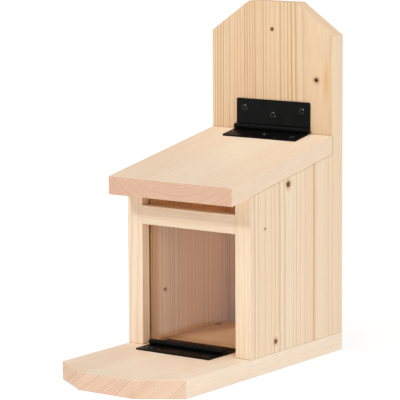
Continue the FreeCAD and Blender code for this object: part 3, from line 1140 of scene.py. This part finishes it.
@dataclass
class Studio:
    """The camera, the lights, the pale floor and the white backdrop."""

    azimuth: float = 36.026
    elevation: float = 8.674
    roll: float = -0.330
    distance: float = 2.4054
    lens_mm: float = 220.6
    aim_offset: Triple = (-0.0035, 0.0098, -0.0114)
    floor_radius: float = 14.0
    wall_height: float = 14.0
    glow_size: tuple[float, float] = (0.018, 0.12)
    glow_power: float = 0.017
    glow_colour: Triple = (1.0, 0.82, 0.66)
    glow_from_wall_mm: float = 12.0
    glow_from_back_mm: float = 60.0
    glow_above_deck_mm: float = 78.0
    glow_away: Triple = (0.3, -0.95, 0.0)
    sky_strength: float = 0.06
    film_points: tuple[tuple[float, float], ...] = ((0.1, 0.055), (0.25, 0.185), (0.5, 0.455), (0.75, 0.74))
    film_channel: int = 3  # the curve for all colours at once
    lights: tuple[FarLight, ...] = (
        FarLight("key_light", (-0.17, -0.80, 0.63), 6.5, 0.86),
        FarLight("right_fill", (0.94, -0.28, 0.22), 60.0, 0.67),
        FarLight("front_fill", (0.82, -0.56, 0.12), 35.0, 0.74),
        FarLight("left_fill", (-0.92, -0.3, 0.3), 60.0, 0.55),
        FarLight("back_fill", (0.25, 0.95, 0.12), 60.0, 0.9),
        FarLight("top_fill", (0.0, -0.25, 0.97), 70.0, 1.72),
    )

    def build(self) -> None:
        """Sets up everything around the box."""
        low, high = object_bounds()
        middle = (Vector(low) + Vector(high)) / 2
        self._camera(middle + Vector(self.aim_offset))
        for light in self.lights:
            light.build()
        self._chamber_glow()
        self._floor()
        self._backdrop()
        self._sky()
        self._film()
        log.info("studio set up")

    def _camera(self, aim: Vector) -> None:
        """The camera, looking down at the box from its right front."""
        turn, drop, roll = (math.radians(d) for d in (self.azimuth, self.elevation, self.roll))
        ahead = Vector((-math.sin(turn) * math.cos(drop), math.cos(turn) * math.cos(drop), -math.sin(drop)))
        right = Vector((math.cos(turn), math.sin(turn), 0.0))
        up = right.cross(ahead)
        leaned_right = right * math.cos(roll) + up * math.sin(roll)
        leaned_up = up * math.cos(roll) - right * math.sin(roll)
        data = bpy.data.cameras.new("camera")
        data.lens = self.lens_mm
        data.sensor_width = 36.0
        data.clip_end = 50.0
        camera = bpy.data.objects.new("camera", data)
        turned = Matrix((leaned_right, leaned_up, -ahead)).transposed().to_4x4()
        camera.matrix_world = Matrix.Translation(aim - ahead * self.distance) @ turned
        bpy.context.scene.collection.objects.link(camera)
        bpy.context.scene.camera = camera

    def _chamber_glow(self) -> None:
        """The light that the bright right wall throws back across the chamber."""
        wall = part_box("right_side")[0]
        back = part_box("back_board")[0]
        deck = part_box("floor_board")[1].z
        data = bpy.data.lights.new("chamber_glow", "AREA")
        data.shape = "RECTANGLE"
        data.size, data.size_y = self.glow_size
        data.energy = self.glow_power
        data.color = self.glow_colour
        lamp = bpy.data.objects.new("chamber_glow", data)
        centre = Vector((wall.x - self.glow_from_wall_mm * MM, back.y - self.glow_from_back_mm * MM,
                         deck + self.glow_above_deck_mm * MM))
        turned = Vector(self.glow_away).to_track_quat("Z", "Y").to_matrix().to_4x4()
        lamp.matrix_world = Matrix.Translation(centre) @ turned
        lamp.visible_camera = False
        lamp.visible_glossy = False
        bpy.context.scene.collection.objects.link(lamp)

    def _film(self) -> None:
        """A gentle contrast curve: deeper, warmer shadows."""
        view = bpy.context.scene.view_settings
        view.view_transform = "Standard"
        view.use_curve_mapping = True
        curve = view.curve_mapping.curves[self.film_channel]
        for x, y in self.film_points:
            curve.points.new(x, y)
        view.curve_mapping.update()

    def _floor(self) -> None:
        """A round, pale floor that glows a little, so that shadows stay light."""
        form = bmesh.new()
        bmesh.ops.create_circle(form, cap_ends=True, radius=self.floor_radius, segments=96)
        bench = Bench("pale_floor")
        cloud = bench.noise(bench.place(), 3.0, 2.0).outputs["Fac"]
        colour = bench.mix(cloud, (0.33, 0.33, 0.33), (0.35, 0.35, 0.35))
        self._stage("floor", form, bench.finish(Base_Color=colour, Roughness=0.9,
                                                Emission_Color=(1.0, 1.0, 1.0), Emission_Strength=0.74))

    def _backdrop(self) -> None:
        """A round white wall far behind everything, which gives no light and throws no shadow."""
        form = bmesh.new()
        rise = Matrix.Translation((0.0, 0.0, self.wall_height / 2))
        bmesh.ops.create_cone(form, cap_ends=False, segments=96, radius1=self.floor_radius,
                              radius2=self.floor_radius, depth=self.wall_height, matrix=rise)
        bench = Bench("white_backdrop")
        cloud = bench.noise(bench.place(), 0.2, 1.0).outputs["Fac"]
        glow = bench.mix(cloud, (1.05, 1.05, 1.05), (1.1, 1.1, 1.1))
        wall = self._stage("backdrop", form, bench.finish(Base_Color=(0.0, 0.0, 0.0), Roughness=1.0,
                                                          Emission_Color=glow, Emission_Strength=1.0))
        wall.visible_diffuse = wall.visible_glossy = wall.visible_shadow = False

    @staticmethod
    def _stage(name: str, form: bmesh.types.BMesh, material: bpy.types.Material) -> bpy.types.Object:
        """Makes a form part of the studio.

        Args:
            name: The object's name.
            form: Its shape, which is used up.
            material: Its finish.

        Returns:
            The object.
        """
        made = bpy.data.meshes.new(name)
        form.to_mesh(made)
        form.free()
        made.materials.append(material)
        item = bpy.data.objects.new(name, made)
        bpy.context.scene.collection.objects.link(item)
        item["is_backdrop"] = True
        return item

    def _sky(self) -> None:
        """Even white light from all round."""
        world = bpy.data.worlds.new("studio_white")
        world.use_nodes = True
        background = world.node_tree.nodes["Background"]
        background.inputs["Color"].default_value = (1.0, 1.0, 1.0, 1.0)
        background.inputs["Strength"].default_value = self.sky_strength
        bpy.context.scene.world = world


def joint_centre(joint: str) -> Vector:
    """Where a joint's axis passes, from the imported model."""
    return Vector(next(j["pos_m"] for j in frame["joints"] if j["name"] == joint))


def build_hinges(roof_tilt: float) -> None:
    """Builds the roof hinge and the platform hinge.

    Args:
        roof_tilt: The roof's slope, in radians.
    """
    coat = BlackCoat()
    steel = ScrewSteel("blackened_screw", (0.03, 0.03, 0.032), (0.42, 0.41, 0.40), 0.30, 0.85)
    screw = Screw(length_mm=15.0, radius_mm=1.75, head_radius_mm=3.5, dome_mm=0.9)
    up, back = Vector(Axis.UP.value), Vector(Axis.BACK.value)
    down_slope = Vector((0.0, -math.cos(roof_tilt), -math.sin(roof_tilt)))
    off_roof = Vector((0.0, -math.sin(roof_tilt), math.cos(roof_tilt)))
    ButtHinge("roof_hinge", "wall", "roof", joint_centre("roof_lift"), up, -back, down_slope, off_roof,
              Body.ROOF).build(coat, steel, screw)
    ButtHinge("platform_hinge", "floor", "platform", joint_centre("platform_fold"), back, up, -back, up,
              Body.PLATFORM).build(coat, steel, screw)


def main() -> None:
    """Builds the looks of the whole box."""
    logging.basicConfig(level=logging.INFO, format="%(name)s: %(message)s")
    roof_tilt = math.atan2(ROOF_RISE_MM, ROOF_RUN_MM)
    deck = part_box("floor_board")[1].z
    Studio().build()
    Boards(roof_tilt, deck).build()
    build_hinges(roof_tilt)
    long_screw = Screw(length_mm=40.0, radius_mm=2.0, head_radius_mm=4.0, arm_mm=2.3)
    zinc = ScrewSteel("zinc_screw", (0.50, 0.47, 0.40), (0.78, 0.76, 0.70), 0.3, 1.0)
    BoxScrews(long_screw, zinc).build()
    PaneAndDowels(ClearAcrylic(), Beech()).build()


if __name__ == "__main__":
    main()
